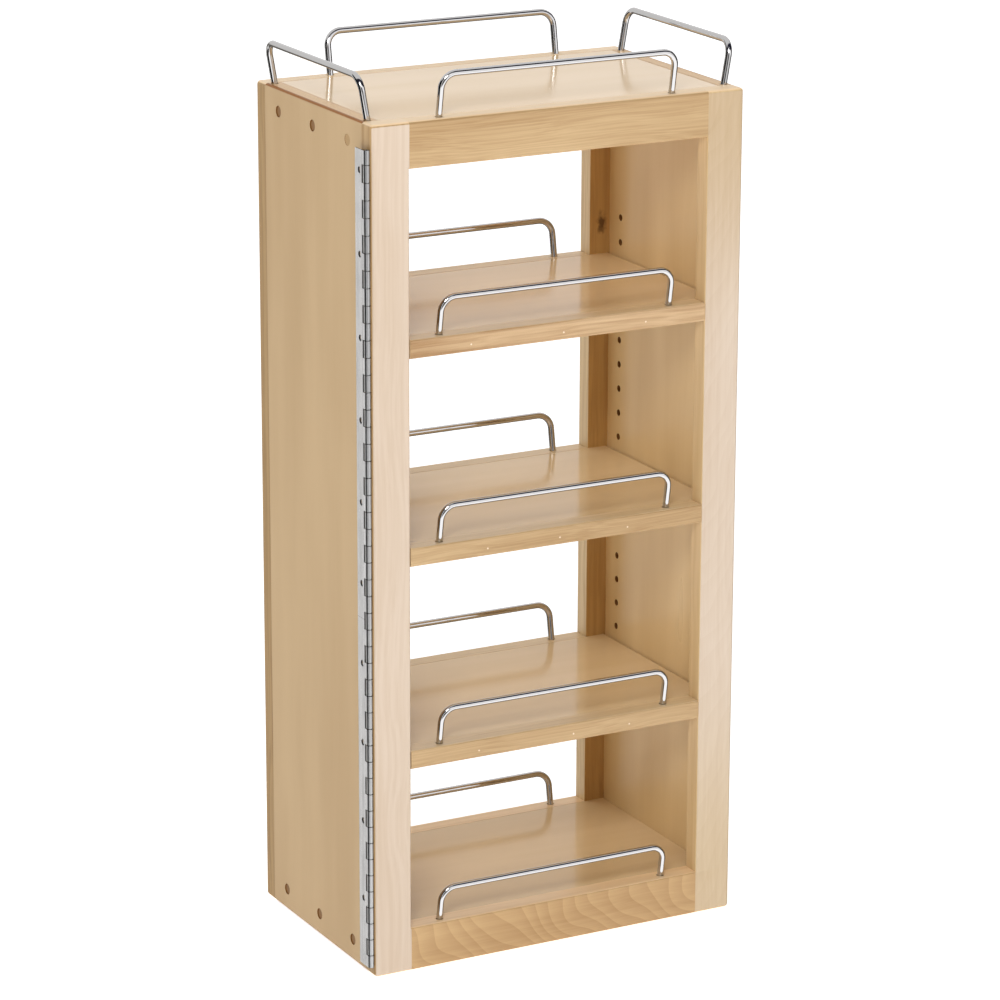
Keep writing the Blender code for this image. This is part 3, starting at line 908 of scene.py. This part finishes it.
def leaf_mesh(name, side, own, bottom, top, reach):
    """One rolled leaf: a flat strip, with a curl round the pin at each of its own knuckles."""
    inner, outer = curl_ring(side)
    levels = sorted({bottom, top} | {z for span in own for z in span})
    bm = bmesh.new()

    def ring(points, z):
        return [bm.verts.new((x, y, z)) for x, y in points]

    strip = [(side * KNUCKLE_INNER, LEAF_NOTCH), (side * KNUCKLE_INNER, reach)]
    strip += [(side * KNUCKLE_OUTER, reach), (side * KNUCKLE_OUTER, LEAF_NOTCH)]
    rows = {z: ring(strip, z) for z in levels}
    spans = {low: high for low, high in own}
    for low, high in zip(levels[:-1], levels[1:]):
        for first, second in ((0, 1), (1, 2), (2, 3)):
            bm.faces.new((rows[low][first], rows[low][second], rows[high][second], rows[high][first]))
        if spans.get(low) != high:
            bm.faces.new((rows[low][3], rows[low][0], rows[high][0], rows[high][3]))
            continue
        curls = {}
        for z in (low, high):
            curls[z] = (
                [rows[z][0]] + ring(inner[1:], z),
                [rows[z][3]] + ring(outer[1:], z),
            )
            for step in range(len(inner) - 1):
                a, b = curls[z]
                bm.faces.new((a[step], a[step + 1], b[step + 1], b[step]))
        for part in (0, 1):
            for step in range(len(inner) - 1):
                a, b = curls[low][part], curls[high][part]
                bm.faces.new((a[step], a[step + 1], b[step + 1], b[step]))
        a, b = curls[low], curls[high]
        bm.faces.new((a[0][-1], a[1][-1], b[1][-1], b[0][-1]))
    for z in (bottom, top):
        bm.faces.new(rows[z])
    return mesh_from(name, bm)


def leaf(node, side, own, material):
    """A leaf in its node's place, with screw holes that are countersunk from its inner face."""
    low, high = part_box(node)
    axis = hinge_axis()
    bottom = low.z
    top = high.z - (FIXED_LEAF_DROP if node == "hinge_fixed_leaf" else 0)
    own = [
        (start + (KNUCKLE_GAP if start > bottom else 0), end - (KNUCKLE_GAP if end < top else 0))
        for start, end in own
    ]
    mesh = leaf_mesh(node, side, own, bottom, top, high.y - axis.y)
    mesh.transform(Matrix.Translation(axis))
    obj = new_object(node + "_steel", mesh, material)
    bm = bmesh.new()
    turn = Matrix.Rotation(side * pi / 2, 4, "Y")
    for z in screw_heights():
        centre = Matrix.Translation(axis + Vector((0, SCREW_OFFSET, z)))
        add_rod(bm, SCREW_HOLE_RADIUS, KNUCKLE_INNER - MM, KNUCKLE_OUTER + MM, 28, centre @ turn)
    tools = [add_tool(obj, bm)]
    bm = bmesh.new()
    wide = SCREW_HEAD_RADIUS + COUNTERSINK_CLEAR
    for z in screw_heights():
        centre = Matrix.Translation(axis + Vector((0, SCREW_OFFSET, z)))
        add_rod(bm, wide, KNUCKLE_INNER, KNUCKLE_INNER + wide, 28, centre @ turn, 0)
    tools.append(add_tool(obj, bm))
    if node == "hinge_free_leaf":
        bm = bmesh.new()
        x = axis.x + side * KNUCKLE_OUTER
        seam_low = (x - LEAF_SEAM_DEPTH, axis.y + LEAF_NOTCH - MM, LEAF_SEAM_Z)
        add_box(bm, seam_low, (x + MM, high.y + MM, LEAF_SEAM_Z + LEAF_SEAM_WIDTH))
        tools.append(add_tool(obj, bm))
    finished(obj, tools)
    return stand_for(obj, node)


def make_pin(material):
    low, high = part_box("hinge_pin")
    bm = bmesh.new()
    add_rod(bm, PIN_RADIUS, low.z, high.z, 24, Matrix.Translation(hinge_axis()))
    pin = new_object("hinge_pin_steel", mesh_from("hinge_pin", bm), material)
    bevel = pin.modifiers.new("round_ends", "BEVEL")
    bevel.width = 0.4 * MM
    bevel.segments = 3
    baked(pin)
    finished(smooth(pin))
    stand_for(pin, "hinge_pin")


def screw_mesh():
    """A countersunk wood screw with a cross recess, its head facing +Z from the origin."""
    bm = bmesh.new()
    taper = SCREW_HEAD_RADIUS - SCREW_SHANK_RADIUS
    add_rod(bm, SCREW_SHANK_RADIUS, -taper, -0.12 * MM, 28, end_radius=SCREW_HEAD_RADIUS)
    screw = new_object("screw", mesh_from("screw", bm))
    bm = bmesh.new()
    tip_end = SCREW_LENGTH * (SCREW_TIP_SHARE - 1)
    add_rod(bm, SCREW_SHANK_RADIUS / 2, -SCREW_LENGTH, tip_end, 20, end_radius=THREAD_RADIUS)
    add_rod(bm, THREAD_RADIUS, tip_end, -taper + 0.1 * MM, 20)
    bmesh.ops.remove_doubles(bm, verts=bm.verts, dist=0.01 * MM)
    tools = [add_tool(screw, bm, "UNION")]
    for turn in (0, pi / 2):
        bm = bmesh.new()
        low = (-CROSS_REACH, -CROSS_HALF_WIDTH, -CROSS_DEPTH)
        add_box(bm, low, (CROSS_REACH, CROSS_HALF_WIDTH, MM))
        turned = Matrix.Rotation(turn + CROSS_TURN, 3, "Z")
        bmesh.ops.rotate(bm, cent=(0, 0, 0), matrix=turned, verts=bm.verts)
        tools.append(add_tool(screw, bm))
    finished(screw, tools)
    mesh = screw.data
    bpy.data.objects.remove(screw)
    return mesh


def make_screws(material):
    mesh = screw_mesh()
    mesh.materials.append(material)
    axis = hinge_axis()
    for number, z in enumerate(screw_heights(), 1):
        screw = new_object(f"hinge_screw_{number}", mesh)
        place = Matrix.Translation(axis + Vector((KNUCKLE_INNER, SCREW_OFFSET, z)))
        driven = Matrix.Rotation(number * 1.3, 4, "Z")
        screw.matrix_world = place @ Matrix.Rotation(-pi / 2, 4, "Y") @ driven
        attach(screw, BODY_OF["hinge_fixed_leaf"])


def make_hinge(material):
    low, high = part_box("hinge_free_leaf")
    free, fixed = knuckle_spans(low.z, high.z)
    leaf("hinge_fixed_leaf", 1, fixed, material)
    leaf("hinge_free_leaf", -1, free, material)
    make_pin(material)


# ---------------------------------------------------------------- studio


def make_floor():
    nodes = Nodes("studio_floor")
    nodes.set(Base_Color=(0.9, 0.9, 0.9, 1), Roughness=0.9)
    nodes.set(Emission_Color=(1, 1, 1, 1), Emission_Strength=0.6)
    bm = bmesh.new()
    add_box(bm, (-FLOOR_REACH, -FLOOR_REACH, -FLOOR_THICK), (FLOOR_REACH, FLOOR_REACH, -FLOOR_DROP))
    floor = new_object("floor", mesh_from("floor", bm), nodes.material)
    floor.visible_glossy = False


class Sky:
    """Builds the studio's surroundings as a world whose brightness depends on the direction."""

    def __init__(self, name, strength):
        world = bpy.data.worlds.new(name)
        bpy.context.scene.world = world
        world.use_nodes = True
        self.tree = world.node_tree
        self.background = self.tree.nodes["Background"]
        self.background.inputs["Strength"].default_value = strength
        self.towards = self.add("TexCoord").outputs["Generated"]
        level = self.add("VectorMath", {"operation": "MULTIPLY"}, {0: self.towards, 1: (1, 1, 0)})
        made = self.add("VectorMath", {"operation": "NORMALIZE"}, {0: level.outputs[0]})
        self.level = made.outputs[0]
        self.height = self.add("SeparateXYZ", None, {0: self.towards}).outputs["Z"]
        self.colour = (1, 1, 1, 1)

    add = Nodes.add
    put = Nodes.put
    math = Nodes.math
    remap = Nodes.remap
    mix = Nodes.mix

    def dot(self, first, second):
        return self.add("VectorMath", {"operation": "DOT_PRODUCT"}, {0: first, 1: second}).outputs["Value"]

    def card(self, azimuth, half_width, low, high, colour, soft=5):
        """A card that stands round an azimuth, clockwise from +Y, between two elevations, in degrees."""
        middle = Vector((sin(radians(azimuth)), cos(radians(azimuth)), 0))
        edges = [cos(radians(half_width + soft)), cos(radians(max(half_width - soft, 0)))]
        share = self.remap(self.dot(self.level, middle), *edges)
        for edge, sense in ((low, 1), (high, -1)):
            edges = [sin(radians(edge - soft * sense)), sin(radians(edge + soft * sense))]
            share = self.math("MULTIPLY", share, self.remap(self.height, *edges))
        self.colour = self.mix(share, self.colour, colour)

    def strip(self, elevation, half_width, colour):
        """A dark gap overhead that runs along X, at an elevation above the front."""
        across = Vector((0, sin(radians(elevation)), cos(radians(elevation))))
        away = self.math("ABSOLUTE", self.dot(self.towards, across))
        share = self.remap(away, sin(radians(half_width)), sin(radians(half_width * 0.65)))
        share = self.math("MULTIPLY", share, self.remap(self.height, 0.2, 0.4))
        self.colour = self.mix(share, self.colour, colour)

    def finish(self):
        self.put(self.colour, self.background.inputs["Color"])


def make_world():
    sky = Sky("studio", 0.95)
    sky.card(azimuth=-140, half_width=32, low=16, high=52, colour=(1.9, 1.87, 1.8, 1))
    sky.card(azimuth=150, half_width=35, low=-5, high=32, colour=(1.55, 1.55, 1.58, 1))
    sky.card(azimuth=180, half_width=80, low=-80, high=-18, colour=(1.8, 1.8, 1.8, 1))
    sky.card(azimuth=-22, half_width=30, low=-25, high=45, colour=(0.97, 0.97, 0.96, 1))
    sky.card(azimuth=28, half_width=50, low=-80, high=-2, colour=(0.16, 0.15, 0.13, 1))
    sky.card(azimuth=-84, half_width=40, low=-70, high=26, colour=(0.01, 0.01, 0.01, 1))
    sky.card(azimuth=90, half_width=30, low=-70, high=26, colour=(0.02, 0.02, 0.015, 1))
    sky.card(azimuth=-163, half_width=20, low=-18, high=12, colour=(0.1, 0.1, 0.1, 1))
    sky.strip(elevation=50, half_width=25, colour=(0.03, 0.03, 0.05, 1))
    sky.finish()


def area_light(name, place, target, size, power):
    light = bpy.data.lights.new(name, "AREA")
    light.shape = "RECTANGLE"
    light.size, light.size_y = size
    light.energy = power
    obj = bpy.data.objects.new(name, light)
    bpy.context.scene.collection.objects.link(obj)
    obj.location = place
    obj.rotation_euler = (Vector(target) - Vector(place)).to_track_quat("-Z", "Y").to_euler()


def make_camera():
    camera = bpy.data.cameras.new("camera")
    camera.lens = CAMERA_LENS
    camera.sensor_width = CAMERA_SENSOR
    camera.clip_end = 2 * FLOOR_REACH
    obj = bpy.data.objects.new("camera", camera)
    bpy.context.scene.collection.objects.link(obj)
    obj.location = CAMERA_PLACE
    turn = Euler((radians(90 - CAMERA_DOWN), 0, radians(-CAMERA_AZIMUTH))).to_matrix().to_4x4()
    obj.rotation_euler = (turn @ Matrix.Rotation(radians(CAMERA_ROLL), 4, "Z")).to_euler()
    bpy.context.scene.camera = obj


chrome_plate = chrome()
# The leaf's darker rolled tone on its knuckles is painted shade, and its near-black cut tone painted dark
# shade
leaf_steel = plated_steel(
    "leaf_steel", (0.96, 0.95, 0.95, 1), (0.48, 0.48, 0.48, 1), STEEL_END_SHADE, 0.32, hinge_axis().y + LEAF_NOTCH
)
clip_steel = plated_steel("clip_steel", CLIP_STEEL, CLIP_STEEL, CLIP_STEEL, 0.3)
# The screws' near-black plating is painted shade, for heads sunk in the dark of their holes
screw_steel_painted_shade = plated_steel("screw_steel_painted_shade", (0.08, 0.08, 0.08, 1), (0.06, 0.06, 0.06, 1), STEEL_END_SHADE, 0.4)
plug_wood = solid_wood("plug_wood", "y", 5.3, (tone(148, 102, 44), tone(112, 74, 24)))
pale_plug_wood = solid_wood("pale_plug_wood", "y", 5.3, (tone(184, 148, 98), tone(170, 134, 84)))
filler_paste = solid_wood("filler_paste", "x", 6.1, (tone(240, 222, 196), tone(226, 200, 168)))

make_boards(wires_and_sockets(chrome_plate))
make_plugs(plug_wood, pale_plug_wood)
make_brad_fillers(filler_paste)
make_clips(clip_steel)
make_hinge(leaf_steel)
make_screws(screw_steel_painted_shade)
make_floor()
make_world()
area_light("fill", (-0.6, -2.6, 2.4), (0, 0, 0.35), (2.0, 2.0), 6)
area_light("key", (-1.6, -2.2, 2.2), (0, 0, 0.3), (0.9, 0.9), 36)
make_camera()
bpy.context.scene.view_settings.view_transform = "Standard"
